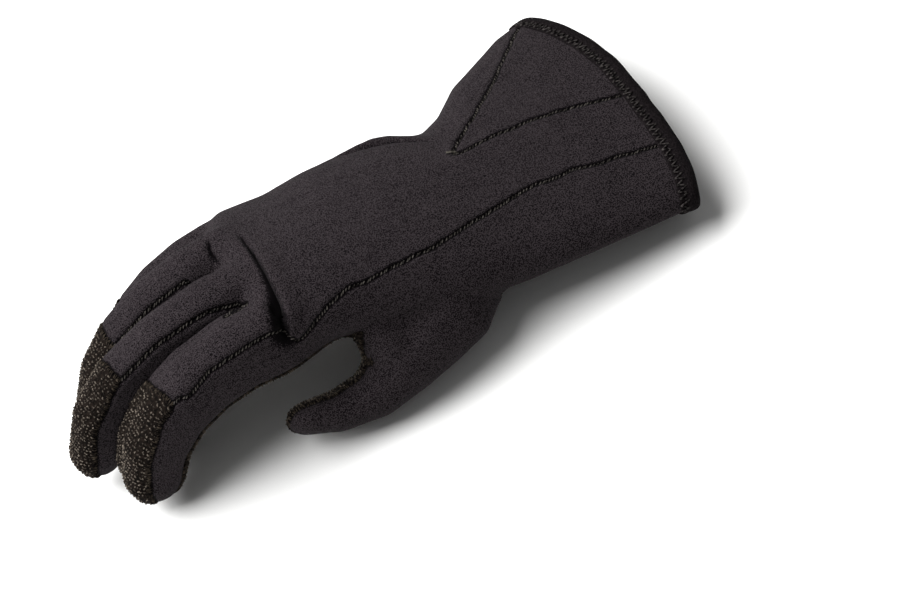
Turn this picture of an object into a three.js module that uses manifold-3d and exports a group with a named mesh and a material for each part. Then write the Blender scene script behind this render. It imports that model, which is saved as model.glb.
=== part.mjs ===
// Diving glove for the right hand, empty, lying palm down on its fingertips and its cuff.
// Millimetres. The glove is drawn in a hand frame: -X to the fingertips, +X to the cuff,
// -Y to the thumb, +Z out of the back of the hand, with X = 0 at the knuckle fold.
import * as THREE from 'three';
import Module from 'manifold-3d';

const wasm = await Module();
wasm.setup();

// Materials of the sheet goods
const wall = 4.5;
const seamGap = 0.3;

// Hand and cuff
const bodyLength = 195;
const handWidth = 100;
const handDepth = 47;
const ulnarCutBack = 18;
const radialCutBack = 5;

// Fingers
const fingerGap = 1.8;
const fingerDepth = 30;
const tipRadius = 12.5;
const fingerLength = 115;
const capLength = 60;

// Thumb
const thumbLength = 108;
const thumbWidth = 40;
const thumbTurn = 50;

// Hem round the cuff's edge
const hemWidth = 9;
const hemThickness = 1.7;

// Fold across the knuckles
const foldWidth = 5;
const foldDepth = 3.2;

// Seams, as angles round a section: 0 is the little-finger side, 90 the back, 180 the thumb side
const fingerSeamAngle = 43;
const capTipAngle = 18;
const crotchSeamAngle = 20;
const palmSideAngle = 40;
const thumbPalmAngle = -60;
const thumbKnitAngle = 150;
const thumbKnitRootAngle = 50;

// Steps round and along the forms
const sides = { body: 22, finger: 12, fingerInside: 6, thumb: 12, thumbInside: 6 };
const tipSpans = 2;
const tubeReach = 2;
const wallReach = 0.5;
const bodyReach = 3;
const behindWall = 1.2;
const tinyEdge = 0.03;
const widestSpread = 13;

// Depth by which the fingertips and the cuff are pressed flat where they rest
const footTrim = 0.5;

const neopreneColour = 0x26232a;
const knitColour = 0x3a322b;
const hemColour = 0x17151a;

// Sections of the hand and cuff. along is a share of bodyLength, across and width of handWidth,
// up and depth of handDepth, roll in degrees, thin the share by which the back is lower over the
// little finger and the thumb side is thicker.
const bodyColumns = ['along', 'across', 'up', 'width', 'depth', 'roll', 'thin'];
const bodySections = [
  [-0.042, -0.050, 0.00, 0.74, 0.36, -6, 0.28],
  [-0.018, -0.045, 0.00, 0.84, 0.63, -6, 0.28],
  [0.008, -0.030, 0.00, 0.92, 0.80, -6, 0.28],
  [0.045, -0.025, -0.02, 0.94, 0.84, -6, 0.30],
  [0.130, -0.030, -0.03, 0.96, 0.91, -7, 0.25],
  [0.240, -0.030, -0.05, 1.00, 1.00, -5, 0.08],
  [0.400, -0.05, -0.08, 1.02, 1.04, -2, 0],
  [0.540, -0.08, -0.10, 0.96, 1.02, 0, 0],
  [0.640, 0.00, -0.08, 1.16, 0.94, 0, 0],
  [0.760, 0.06, -0.06, 1.30, 0.85, 0, 0],
  [0.885, 0.11, -0.04, 1.41, 0.77, 0, 0],
  [1.000, 0.125, -0.02, 1.44, 0.74, 0, 0],
].map((row) => named(bodyColumns, row));

// Fingers. across and tipAcross are shares of handWidth, up and depth of fingerDepth, width of the
// room for a finger, root and reach of fingerLength, tip of tipRadius. root is how far the finger
// runs back inside the hand, cap the share of capLength that its cap takes. pitch is the fall of the
// centreline in degrees, lag how late it comes.
const fingerColumns = [
  'name', 'across', 'tipAcross', 'up', 'root', 'reach',
  'width', 'depth', 'tip', 'cap', 'pitch', 'tipPitch', 'lag',
];
const fingers = [
  ['index', -0.380, -0.380, -0.05, 0.30, 0.94, 1.00, 1.30, 1.03, 1.00, 3, 98, 1.20],
  ['middle', -0.125, -0.110, 0.06, 0.12, 1.09, 1.00, 1.14, 0.95, 1.00, 6, 97, 1.55],
  ['ring', 0.130, 0.140, -0.02, 0.12, 0.98, 0.97, 1.08, 0.92, 0.86, 6, 90, 1.2],
  ['little', 0.358, 0.362, -0.47, 0.12, 0.80, 0.80, 0.86, 0.84, 0.72, 9, 88, 1.1],
].map((row) => named(fingerColumns, row));

// Thumb, from inside the wrist to its tip. x, y and z are shares of thumbLength from the middle of
// the knuckles, wide and deep of thumbWidth.
const thumbColumns = ['x', 'y', 'z', 'wide', 'deep'];
const thumbSections = [
  [0.96, -0.24, -0.06, 0.50, 0.50],
  [0.76, -0.35, -0.14, 1.04, 1.18],
  [0.58, -0.43, -0.22, 1.04, 1.06],
  [0.43, -0.49, -0.30, 0.90, 0.80],
  [0.29, -0.52, -0.38, 0.76, 0.57],
  [0.17, -0.52, -0.395, 0.66, 0.48],
  [0.07, -0.52, -0.375, 0.58, 0.42],
  [-0.08, -0.51, -0.35, 0.44, 0.28],
].map((row) => named(thumbColumns, row));

// Web between the thumb and the index finger, in the thumb's columns
const webSections = [
  [0.80, -0.30, -0.14, 0.60, 0.60],
  [0.54, -0.41, -0.16, 0.70, 0.78],
  [0.29, -0.46, -0.17, 0.66, 0.82],
].map((row) => named(thumbColumns, row));

// Borders of the body panels. along is a share of bodyLength, from and to are angles.
const borderColumns = ['along', 'from', 'to'];
const palmBorder = [
  [-0.060, 222, 326],
  [0.010, 217, 326],
  [0.080, 214, 328],
  [0.150, 212, 330],
  [0.230, 212, 332],
  [0.330, 214, 333],
  [0.410, 222, 332],
].map((row) => named(borderColumns, row));
const cuffPalmBorder = [
  [0.360, 222, 332],
  [0.450, 212, 331],
  [0.560, 205, 328],
  [0.750, 212, 325],
  [1.030, 220, 322],
].map((row) => named(borderColumns, row));
const gussetBorder = [
  [0.530, 75.5, 78.5],
  [0.610, 68, 83],
  [0.700, 59, 87],
  [0.815, 43, 92],
  [0.940, 26, 98],
  [1.030, 12, 101],
].map((row) => named(borderColumns, row));
const thumbPanelBorder = [
  [-0.020, 190, 262],
  [0.020, 183, 262],
  [0.085, 168, 262],
  [0.200, 149, 262],
  [0.290, 143, 262],
  [0.370, 136, 262],
  [0.465, 127, 262],
  [0.560, 121, 262],
  [0.720, 121, 262],
  [1.030, 130, 262],
].map((row) => named(borderColumns, row));

const palmArc = 10;

function named(columns, row) {
  return Object.fromEntries(columns.map((column, i) => [column, row[i]]));
}

function radians(degrees) {
  return degrees * Math.PI / 180;
}

// Value of a column between the rows of a table, on a smooth curve through them.
function between(rows, key, place, column) {
  const last = rows.length - 1;
  const at = THREE.MathUtils.clamp(place, rows[0][key], rows[last][key]);
  let i = 0;
  while (i < last - 1 && rows[i + 1][key] < at) i += 1;
  const slope = (k) => {
    const a = rows[Math.max(k - 1, 0)];
    const b = rows[Math.min(k + 1, last)];
    return (b[column] - a[column]) / (b[key] - a[key]);
  };
  const span = rows[i + 1][key] - rows[i][key];
  const t = (at - rows[i][key]) / span;
  const rise = rows[i + 1][column] - rows[i][column];
  const bend = (slope(i) * span - rise) * (1 - t) + (rise - slope(i + 1) * span) * t;
  return rows[i][column] + rise * t + bend * t * (1 - t);
}

// Closed mesh through rings of equal length, with a fan at each end.
function loft(rings) {
  const count = rings[0].length;
  const points = rings.flat();
  const triangles = [];
  for (let i = 0; i + 1 < rings.length; i += 1) {
    for (let j = 0; j < count; j += 1) {
      const a = i * count + j;
      const b = i * count + (j + 1) % count;
      triangles.push(a, a + count, b, b, a + count, b + count);
    }
  }
  const first = points.push(middle(rings[0])) - 1;
  const last = points.push(middle(rings.at(-1))) - 1;
  const end = (rings.length - 1) * count;
  for (let j = 0; j < count; j += 1) {
    const next = (j + 1) % count;
    triangles.push(first, j, next, last, end + next, end + j);
  }
  return solid(points, triangles);
}

// Closed tube of rings that meets itself again.
function ringLoft(rings) {
  const count = rings[0].length;
  const triangles = [];
  rings.forEach((ring, i) => {
    const after = (i + 1) % rings.length;
    for (let j = 0; j < count; j += 1) {
      const next = (j + 1) % count;
      const a = i * count + j;
      const b = i * count + next;
      triangles.push(a, after * count + j, b, b, after * count + j, after * count + next);
    }
  });
  return solid(rings.flat(), triangles);
}

function middle(ring) {
  const sum = ring.reduce((total, point) => total.add(point), new THREE.Vector3());
  return sum.divideScalar(ring.length);
}

function solid(points, triangles) {
  const vertProperties = new Float32Array(points.flatMap((point) => point.toArray()));
  const triVerts = new Uint32Array(triangles);
  return new wasm.Manifold(new wasm.Mesh({ numProp: 3, vertProperties, triVerts }));
}

// Distance that the cuff's edge lies back from the straight edge at a place across the cuff.
function edgeCutBack(y) {
  const centre = 0.10 * handWidth;
  const ulnar = Math.max(0, (y - centre) / (0.72 * handWidth));
  const radial = Math.max(0, (-y - 0.36 * handWidth) / (0.26 * handWidth));
  return ulnarCutBack * ulnar ** 2 + radialCutBack * radial ** 2;
}

// Distance that the hand's front edge reaches further forward over the ring finger.
function knuckleStep(along, y) {
  const ringShift = 8;
  const ring = fingers[2].across * handWidth;
  const near = Math.exp(-(((y - ring) / (0.12 * handWidth)) ** 2));
  return ringShift * near * THREE.MathUtils.smoothstep(-along, -0.06, 0.0);
}

// A body section: its middle, its two half axes and its roll at a share of the length.
function bodySection(along, offset) {
  const at = (column) => between(bodySections, 'along', along, column);
  return {
    x: along * bodyLength,
    y: at('across') * handWidth,
    z: at('up') * handDepth,
    wide: at('width') * handWidth / 2 + offset,
    deep: at('depth') * handDepth / 2 + offset,
    roll: radians(at('roll')),
    thin: at('thin'),
  };
}

function bodyPoint(along, angle, offset = 0) {
  const section = bodySection(along, offset);
  const cos = Math.cos(radians(angle));
  const sin = Math.sin(radians(angle));
  const lean = sin > 0 || cos < 0 ? 1 - section.thin * cos : 1;
  const y = section.wide * cos;
  const z = section.deep * sin * lean;
  const acrossY = section.y + y * Math.cos(section.roll) - z * Math.sin(section.roll);
  const upZ = section.z + y * Math.sin(section.roll) + z * Math.cos(section.roll);
  const wristShare = 0.54;
  const share = Math.max(0, (along - wristShare) / (1 - wristShare));
  const x = section.x - edgeCutBack(acrossY) * share ** 2 - knuckleStep(along, acrossY);
  return new THREE.Vector3(x, acrossY, upZ);
}

// Outward normal of the section's curve, in the plane across the hand.
function bodyNormal(along, angle) {
  const section = bodySection(along, 0);
  const y = section.deep * Math.cos(radians(angle));
  const z = section.wide * Math.sin(radians(angle));
  const cos = Math.cos(section.roll);
  const sin = Math.sin(section.roll);
  return new THREE.Vector3(0, y * cos - z * sin, y * sin + z * cos).normalize();
}

function bodyMiddle(along) {
  const section = bodySection(along, 0);
  return new THREE.Vector3(section.x, section.y, section.z);
}

// Tubes for the fingers and the thumb
function superellipse(angle, wide, deep, power) {
  const bend = (value) => Math.sign(value) * Math.abs(value) ** (2 / power);
  return [wide * bend(Math.cos(radians(angle))), deep * bend(Math.sin(radians(angle)))];
}

// Centreline of a finger as points with a tangent and an up direction, each a millimetre or two apart.
function fingerLine(finger) {
  const length = finger.reach * fingerLength;
  const steps = 60;
  const start = new THREE.Vector3(0, finger.across * handWidth, finger.up * fingerDepth);
  const line = [];
  const place = start.clone();
  for (let i = 0; i <= steps; i += 1) {
    const share = i / steps;
    const pitch = radians(finger.pitch + (finger.tipPitch - finger.pitch) * share ** finger.lag);
    const sideways = (finger.tipAcross - finger.across) * handWidth / length;
    const tangent = new THREE.Vector3(-Math.cos(pitch), sideways, -Math.sin(pitch)).normalize();
    const up = new THREE.Vector3(-Math.sin(pitch), 0, Math.cos(pitch));
    line.push({ place: place.clone(), tangent, up });
    place.addScaledVector(tangent, length / steps);
  }
  return line;
}

function fingerTube(finger) {
  const room = (fingers[1].across - fingers[0].across) * handWidth - fingerGap;
  const round = tipRadius * finger.tip;
  const tipNarrowing = 0.9;
  return {
    length: finger.reach * fingerLength,
    start: -finger.root * fingerLength,
    spans: 5,
    line: fingerLine(finger),
    power: 2.6,
    round,
    wide: (share) => THREE.MathUtils.lerp(room * finger.width / 2, round * tipNarrowing, share),
    deep: (share) => THREE.MathUtils.lerp(fingerDepth * finger.depth / 2, round, share ** 0.9),
  };
}

function thumbTube(sections, round) {
  const base = bodyMiddle(0);
  const places = sections.map((row) => new THREE.Vector3(row.x, row.y, row.z).multiplyScalar(thumbLength));
  places.forEach((place) => place.add(new THREE.Vector3(0, 0, base.z)));
  const curve = new THREE.CatmullRomCurve3(places);
  const steps = 60;
  const line = [];
  for (let i = 0; i <= steps; i += 1) {
    const tangent = curve.getTangentAt(i / steps);
    const side = new THREE.Vector3().crossVectors(tangent, new THREE.Vector3(0, 0, 1)).normalize();
    const up = new THREE.Vector3().crossVectors(side, tangent).applyAxisAngle(tangent, radians(thumbTurn));
    line.push({ place: curve.getPointAt(i / steps), tangent, up: up.normalize() });
  }
  let travelled = 0;
  const length = curve.getLength();
  const rows = sections.map((row, i) => {
    travelled += i === 0 ? 0 : places[i].distanceTo(places[i - 1]);
    return { ...row, share: Math.min(travelled / length, 1) };
  });
  return {
    length,
    start: -1,
    spans: Math.round(length / 18),
    line,
    power: 2.1,
    round: thumbWidth * round,
    wide: (share) => between(rows, 'share', share, 'wide') * thumbWidth / 2,
    deep: (share) => between(rows, 'share', share, 'deep') * thumbWidth / 2,
  };
}

// Middle and axes of a tube at a distance along it, which may lie before its start or past its end.
function tubeFrame(tube, distance) {
  const steps = tube.line.length - 1;
  const at = THREE.MathUtils.clamp(distance / tube.length, 0, 1) * steps;
  const i = Math.min(Math.floor(at), steps - 1);
  const a = tube.line[i];
  const b = tube.line[i + 1];
  const place = a.place.clone().lerp(b.place, at - i);
  const tangent = a.tangent.clone().lerp(b.tangent, at - i).normalize();
  const up = a.up.clone().lerp(b.up, at - i).normalize();
  const past = distance - THREE.MathUtils.clamp(distance, 0, tube.length);
  place.addScaledVector(tangent, past);
  return { place, tangent, up, side: new THREE.Vector3().crossVectors(tangent, up).normalize() };
}

// Half axes of a tube, offset from its skin, rounded at the tip and drawn in at the root.
function tubeAxes(tube, distance, offset) {
  const share = THREE.MathUtils.clamp(distance / tube.length, 0, 1);
  const round = tube.round + offset;
  const past = Math.max(0, distance - (tube.length - tube.round)) / round;
  const rootDrawIn = 0.45;
  const before = Math.min(0, distance) / Math.min(-1, tube.start);
  const taper = Math.sqrt(Math.max(0.0004, 1 - past ** 2)) * (1 - rootDrawIn * Math.min(before, 1) ** 2);
  return [(tube.wide(share) + offset) * taper, (tube.deep(share) + offset) * taper];
}

function tubePoint(tube, distance, angle, offset = 0) {
  const frame = tubeFrame(tube, distance);
  const [wide, deep] = tubeAxes(tube, distance, offset);
  const [v, u] = superellipse(angle, wide, deep, tube.power);
  return frame.place.clone().addScaledVector(frame.side, v).addScaledVector(frame.up, u);
}

// Places of the rings along a tube from its start to its rounded tip. All solids made from one tube
// share them, whatever their offset from its skin.
function ringPlaces(tube, start, offset) {
  const round = tube.round + offset;
  const bend = tube.length - tube.round;
  const straight = Array.from({ length: tube.spans }, (_, i) => bend * i / tube.spans);
  const rise = (i) => round * Math.sin(radians(90 * i / tipSpans));
  const tip = Array.from({ length: tipSpans + 1 }, (_, i) => bend + rise(i));
  return [start, ...straight.filter((place) => place > start + 2), ...tip];
}

function fullRing(pointAt, count) {
  return Array.from({ length: count }, (_, j) => pointAt(360 * j / count));
}

function tubeSolid(tube, start, offset, around) {
  const places = ringPlaces(tube, start, offset);
  return loft(places.map((place) => fullRing((angle) => tubePoint(tube, place, angle, offset), around)));
}

// Hand and cuff as one form. The rings run from past the cuff to the knuckles.
function bodySolid(shares, offset, around) {
  return loft(shares.map((along) => fullRing((angle) => bodyPoint(along, angle, offset), around)));
}

// A sector of a skin that cuts its wall square at two angles.
function sectorRing(centre, pointAt, from, to, steps, reach, grow) {
  const inside = -(wall + behindWall + grow);
  const ring = [centre, pointAt(from, inside)];
  for (let k = 0; k <= steps; k += 1) ring.push(pointAt(from + (to - from) * k / steps, reach + grow));
  ring.push(pointAt(to, inside));
  return ring;
}

function bodyCut(along, angle, offset) {
  return bodyPoint(along, angle).addScaledVector(bodyNormal(along, angle), offset);
}

// Angle on the body that a distance along its skin takes up.
function bodyAngle(along, angle, distance) {
  const section = bodySection(along, 0);
  const speed = Math.hypot(section.wide * Math.sin(radians(angle)), section.deep * Math.cos(radians(angle)));
  return distance / speed * 180 / Math.PI;
}

// Solid that holds the body's wall between two borders.
function bodyRegion(border, grow, steps, count, endAt) {
  const first = border[0].along;
  const last = border.at(-1).along;
  const rings = [];
  for (let i = count; i >= 0; i -= 1) {
    const along = first + (last - first) * i / count;
    const fromMiddle = between(border, 'along', along, 'from');
    const toMiddle = between(border, 'along', along, 'to');
    const from = fromMiddle - bodyAngle(along, fromMiddle, grow);
    const to = toMiddle + bodyAngle(along, toMiddle, grow);
    const nudge = i === 0 ? -grow / bodyLength : i === count ? grow / bodyLength : 0;
    const ungrown = (angle) => THREE.MathUtils.mapLinear(angle, from, to, fromMiddle, toMiddle);
    const arc = (angle) => (endAt && i === count ? endAt(ungrown(angle)) : 0);
    const pointAt = (angle, offset) => bodyCut(along + nudge + arc(angle), angle, offset);
    const centre = bodyMiddle(along + nudge + arc((from + to) / 2));
    rings.push(sectorRing(centre, pointAt, from, to, steps, bodyReach, grow));
  }
  return loft(rings);
}

// Angle that a short length takes up at a radius.
function angleOf(length, radius) {
  return Math.min(length / radius * 180 / Math.PI, widestSpread);
}

// Solid that holds a tube's wall between two angles, from a place to past its tip.
function tubeRegion(tube, start, from, to, grow, steps) {
  const places = ringPlaces(tube, start - grow, tubeReach + grow);
  const full = { ...tube, start: -Infinity };
  const rings = [];
  for (const distance of places) {
    const frame = tubeFrame(tube, distance);
    const spread = angleOf(grow, Math.min(...tubeAxes(full, distance, 0)));
    const share = THREE.MathUtils.clamp(distance / tube.length, 0, 1);
    const room = Math.min(tube.wide(share), tube.deep(share)) - 1;
    const pointAt = (angle, offset) => tubePoint(full, distance, angle, Math.max(offset, -room));
    const [first, last] = [from(distance) - spread, to(distance) + spread];
    const facing = radians((first + last) / 2);
    const centre = frame.place.clone().addScaledVector(frame.side, -grow * Math.cos(facing));
    centre.addScaledVector(frame.up, -grow * Math.sin(facing));
    rings.push(sectorRing(centre, pointAt, first, last, steps, tubeReach, grow));
  }
  return loft(rings);
}

// Angle of the side seams between two fingers, which close up towards the crotch.
function seamAngle(distance) {
  const opening = 22;
  const share = THREE.MathUtils.smoothstep(distance, 0, opening);
  return THREE.MathUtils.lerp(crotchSeamAngle, fingerSeamAngle, share);
}

// Solid that holds the wall between two neighbouring fingers, round the crotch.
function betweenFingers(left, right, grow) {
  const start = -5;
  const tubes = [left, right].map((tube) => ({ ...tube, start: -Infinity }));
  const placesOf = tubes.map((tube) => ringPlaces(tube, start - grow, wallReach + grow));
  const rings = [];
  for (let i = 0; i < placesOf[0].length; i += 1) {
    const places = [placesOf[0][i], placesOf[1][i]];
    const corner = (k, sign) => {
      const [wide] = tubeAxes(tubes[k], places[k], 0);
      const angle = seamAngle(places[k]) + angleOf(grow, wide);
      const turned = sign * (k === 0 ? angle : 180 - angle);
      const inside = Math.max(-(wall + behindWall + grow), 1 - tubes[k].wide(1));
      const reach = wallReach + grow / 3;
      return [tubePoint(tubes[k], places[k], turned, inside), tubePoint(tubes[k], places[k], turned, reach)];
    };
    const [leftLow, leftHigh] = [corner(0, -1), corner(0, 1)];
    const [rightLow, rightHigh] = [corner(1, -1), corner(1, 1)];
    const [leftFrame, rightFrame] = [tubeFrame(left, places[0]), tubeFrame(right, places[1])];
    rings.push([
      leftFrame.place.addScaledVector(leftFrame.side, -grow), ...leftLow, rightLow[1], rightLow[0],
      rightFrame.place.addScaledVector(rightFrame.side, grow), ...rightHigh, leftHigh[1], leftHigh[0],
    ]);
  }
  return loft(rings);
}

// V-shaped groove on the back of the hand, from one angle to another at a place along it. It grows
// from a share of its size at the start and runs out again at the end.
function foldCutter(along, from, to, startShare) {
  const count = 14;
  const rings = [];
  for (let i = 0; i <= count; i += 1) {
    const share = i / count;
    const angle = from + (to - from) * share;
    const size = startShare + (1 - startShare) * Math.sin(radians(150) * share);
    const halfWidth = foldWidth * size / 2 / bodyLength;
    const mouth = 1.5;
    rings.push([
      bodyCut(along + halfWidth, angle, mouth),
      bodyCut(along + halfWidth * 0.2, angle, -foldDepth * size),
      bodyCut(along - halfWidth * 0.1, angle, -foldDepth * size),
      bodyCut(along - halfWidth * 1.4, angle, mouth),
    ]);
  }
  return loft(rings);
}

// Folded hem: a channel round the cuff's edge, closed on itself.
function hemSolid() {
  const back = hemStart;
  const edge = 1 + seamGap / bodyLength;
  const lip = edge + hemThickness / bodyLength;
  const near = seamGap;
  const far = seamGap + hemThickness;
  const rings = [];
  for (let j = 0; j < sides.body; j += 1) {
    const angle = 360 * j / sides.body;
    rings.push([
      bodyPoint(back, angle, near),
      bodyPoint(back, angle, far * 0.7),
      bodyPoint(back + 0.008, angle, far),
      bodyPoint(edge, angle, far),
      bodyPoint(lip, angle, far - hemThickness),
      bodyPoint(lip, angle, hemThickness - wall - far),
      bodyPoint(edge, angle, -wall - far),
      bodyPoint(back, angle, -wall - far),
      bodyPoint(back, angle, -wall - near),
      bodyPoint(edge, angle, -wall - near),
      bodyPoint(edge, angle, near),
    ]);
  }
  return ringLoft(rings);
}

// Shares of the body's length where its rings stand, from the cuff to the knuckles
const hemStart = 1 - hemWidth / bodyLength;
const cuffShares = [1, hemStart, 0.86, 0.75, 0.66, 0.58];
const handShares = [0.52, 0.43, 0.33, 0.23, 0.13, 0.05, 0.012, -0.02, -0.042];
const innerShares = [1.02, hemStart, 0.75, 0.6, 0.5, 0.3, 0.12, -0.015];

const tubes = fingers.map(fingerTube);
const thumb = thumbTube(thumbSections, 0.17);
const web = thumbTube(webSections, 0.20);

const limbs = [thumb, web];
const outer = [
  ...tubes.map((tube) => tubeSolid(tube, tube.start, 0, sides.finger)),
  ...limbs.map((tube) => tubeSolid(tube, tube.start, 0, sides.thumb)),
].reduce((form, tube) => form.add(tube), bodySolid([...cuffShares, ...handShares], 0, sides.body));
const inner = [
  ...tubes.map((tube) => tubeSolid(tube, tube.start + wall, -wall, sides.fingerInside)),
  ...limbs.map((tube) => tubeSolid(tube, tube.start, -wall, sides.thumbInside)),
].reduce((form, tube) => form.add(tube), bodySolid(innerShares, -wall, sides.body));

// Pitch at which the fingertips and the cuff's underside lie on one floor, and that floor's height.
function restOnFloor() {
  const tips = tubes.flatMap((tube) => [
    ...fullRing((angle) => tubePoint(tube, tube.length - tube.round, angle), sides.finger),
    tubePoint(tube, tube.length, 0),
  ]);
  const cuff = fullRing((angle) => bodyPoint(1, angle, seamGap + hemThickness), 60);
  const height = ({ x, z }, pitch) => z * Math.cos(pitch) - x * Math.sin(pitch);
  const lowest = (points, pitch) => Math.min(...points.map((point) => height(point, pitch)));
  let low = 0;
  let high = radians(40);
  for (let i = 0; i < 30; i += 1) {
    const pitch = (low + high) / 2;
    if (lowest(cuff, pitch) > lowest(tips, pitch)) low = pitch;
    else high = pitch;
  }
  return { pitch: low, height: lowest(tips, low) };
}

const rest = restOnFloor();

// Block below the floor, drawn in the hand frame.
function floorBlock() {
  const size = 3 * bodyLength;
  const top = rest.height + footTrim;
  const axis = new THREE.Vector3(0, 1, 0);
  const turn = (x, y, z) => new THREE.Vector3(x, y, z).applyAxisAngle(axis, -rest.pitch);
  const corners = [[-size, top - size], [size, top - size], [size, top], [-size, top]];
  const ring = (x) => corners.map(([y, z]) => turn(x, y, z));
  return loft([ring(size), ring(-size)]);
}

const floor = floorBlock();
let shell = outer.subtract(inner).subtract(floor);
shell = shell.subtract(foldCutter(0.006, 74, 160, 0.15));

const pieces = new Map();

// Takes a region's wall out of the shell as one named piece and leaves a seam gap round it.
function takePiece(name, regionAt) {
  pieces.set(name, largest(shell.intersect(regionAt(0))));
  shell = shell.subtract(regionAt(seamGap));
}

function largest(form) {
  return form.decompose().reduce((best, part) => (part.volume() > best.volume() ? part : best));
}

// A cap starts between the side seams of its finger and widens towards the tip.
fingers.forEach((finger, i) => {
  const tube = tubes[i];
  const start = tube.length - finger.cap * capLength;
  const side = (distance) => {
    const share = THREE.MathUtils.smoothstep(distance, start, tube.length - tube.round);
    return THREE.MathUtils.lerp(fingerSeamAngle, capTipAngle, share);
  };
  const otherSide = (distance) => 180 - side(distance);
  takePiece(`cap_${finger.name}`, (grow) => tubeRegion(tube, start, side, otherSide, grow, 3));
});

for (let i = 0; i + 1 < fingers.length; i += 1) {
  const name = `wall_${fingers[i].name}_${fingers[i + 1].name}`;
  takePiece(name, (grow) => betweenFingers(tubes[i], tubes[i + 1], grow));
}

takePiece('cuff_gusset', (grow) => bodyRegion(gussetBorder, grow, 3, 5));

function palmEndAt(angle) {
  return -palmArc / bodyLength * ((angle - 277) / 55) ** 2;
}

function palmRegion(grow) {
  let region = bodyRegion(palmBorder, grow, 5, 6, palmEndAt);
  tubes.forEach((tube, i) => {
    const from = (distance) => 180 + (i === 0 ? palmSideAngle : seamAngle(distance));
    const to = (distance) => 360 - (i === 3 ? palmSideAngle : seamAngle(distance));
    region = region.add(tubeRegion(tube, tube.start, from, to, grow, 3));
  });
  [thumb, web].forEach((tube) => {
    const before = (share) => tube.length - share * thumbLength;
    const open = (distance) => THREE.MathUtils.smoothstep(distance, before(0.75), before(0.5));
    const to = (distance) => THREE.MathUtils.lerp(thumbKnitRootAngle, thumbKnitAngle, open(distance));
    region = region.add(tubeRegion(tube, Math.max(before(0.8), 0), () => thumbPalmAngle, to, grow, 4));
  });
  return region;
}
takePiece('palm_panel', palmRegion);

takePiece('cuff_palm_panel', (grow) => bodyRegion(cuffPalmBorder, grow, 4, 6));

function thumbPanelRegion(grow) {
  const index = tubes[0];
  const dip = (distance) => 44 * Math.exp(-(((distance + 5) / 7) ** 2));
  const side = tubeRegion(index, index.start, (distance) => 179 - fingerSeamAngle + dip(distance),
    () => 181 + palmSideAngle, grow, 3);
  const whole = [thumb, web].map((tube) => tubeSolid(tube, tube.start - grow, tubeReach + grow, 10));
  return bodyRegion(thumbPanelBorder, grow, 6, 8).add(side).add(whole[0]).add(whole[1]);
}
takePiece('thumb_panel', thumbPanelRegion);

pieces.set('back_panel', largest(shell));
pieces.set('cuff_hem', hemSolid().subtract(floor));

function material(color, roughness) {
  return new THREE.MeshStandardMaterial({ color, roughness, metalness: 0, flatShading: true });
}

const materials = {
  neoprene: material(neopreneColour, 0.9),
  knit: material(knitColour, 0.95),
  hem: material(hemColour, 0.9),
};

function materialOf(name) {
  if (name === 'cuff_hem') return materials.hem;
  return name.startsWith('cap_') || name === 'palm_panel' ? materials.knit : materials.neoprene;
}

// Neighbours of each point of a list of triangles.
function neighboursOf(triangles) {
  const around = new Map();
  for (const corners of triangles) {
    for (const corner of corners) {
      const near = around.get(corner) ?? new Set();
      corners.forEach((other) => near.add(other));
      around.set(corner, near);
    }
  }
  return around;
}

// Triangles of a form with the tiny edges drawn together that cuts leave where surfaces nearly meet.
function withoutTinyEdges(vertProperties, triVerts) {
  const point = (i) => new THREE.Vector3().fromArray(vertProperties, 3 * i);
  const count = triVerts.length / 3;
  let triangles = Array.from({ length: count }, (_, i) => [...triVerts.slice(3 * i, 3 * i + 3)]);
  for (let drawn = true; drawn;) {
    const around = neighboursOf(triangles);
    const target = new Map();
    const settled = new Set();
    for (const [a, b] of triangles.flatMap(([p, q, r]) => [[p, q], [q, r], [r, p]])) {
      if (settled.has(a) || settled.has(b) || point(a).distanceTo(point(b)) > tinyEdge) continue;
      const shared = [...around.get(a)].filter((near) => near !== a && near !== b && around.get(b).has(near));
      if (shared.length !== 2) continue;
      target.set(b, a);
      around.get(a).forEach((near) => settled.add(near));
      around.get(b).forEach((near) => settled.add(near));
    }
    triangles = triangles.map((corners) => corners.map((corner) => target.get(corner) ?? corner))
      .filter(([p, q, r]) => p !== q && q !== r && r !== p);
    drawn = target.size > 0;
  }
  return triangles.flat();
}

function meshOf(name, form) {
  const { vertProperties, triVerts } = form.getMesh();
  const geometry = new THREE.BufferGeometry();
  geometry.setAttribute('position', new THREE.BufferAttribute(vertProperties, 3));
  geometry.setIndex(withoutTinyEdges(vertProperties, triVerts));
  const mesh = new THREE.Mesh(geometry, materialOf(name));
  mesh.name = name;
  return mesh;
}

const glove = new THREE.Group();
pieces.forEach((form, name) => glove.add(meshOf(name, form)));

glove.rotation.y = rest.pitch;
const box = new THREE.Box3().setFromObject(glove, true);
glove.position.set(-(box.min.x + box.max.x) / 2, -(box.min.y + box.max.y) / 2, -box.min.z);

const group = new THREE.Group();
group.add(glove);

export default group;
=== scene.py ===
import math

import bpy
import numpy as np
from mathutils import Matrix, Vector
from mathutils.bvhtree import BVHTree
from mathutils.kdtree import KDTree


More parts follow.
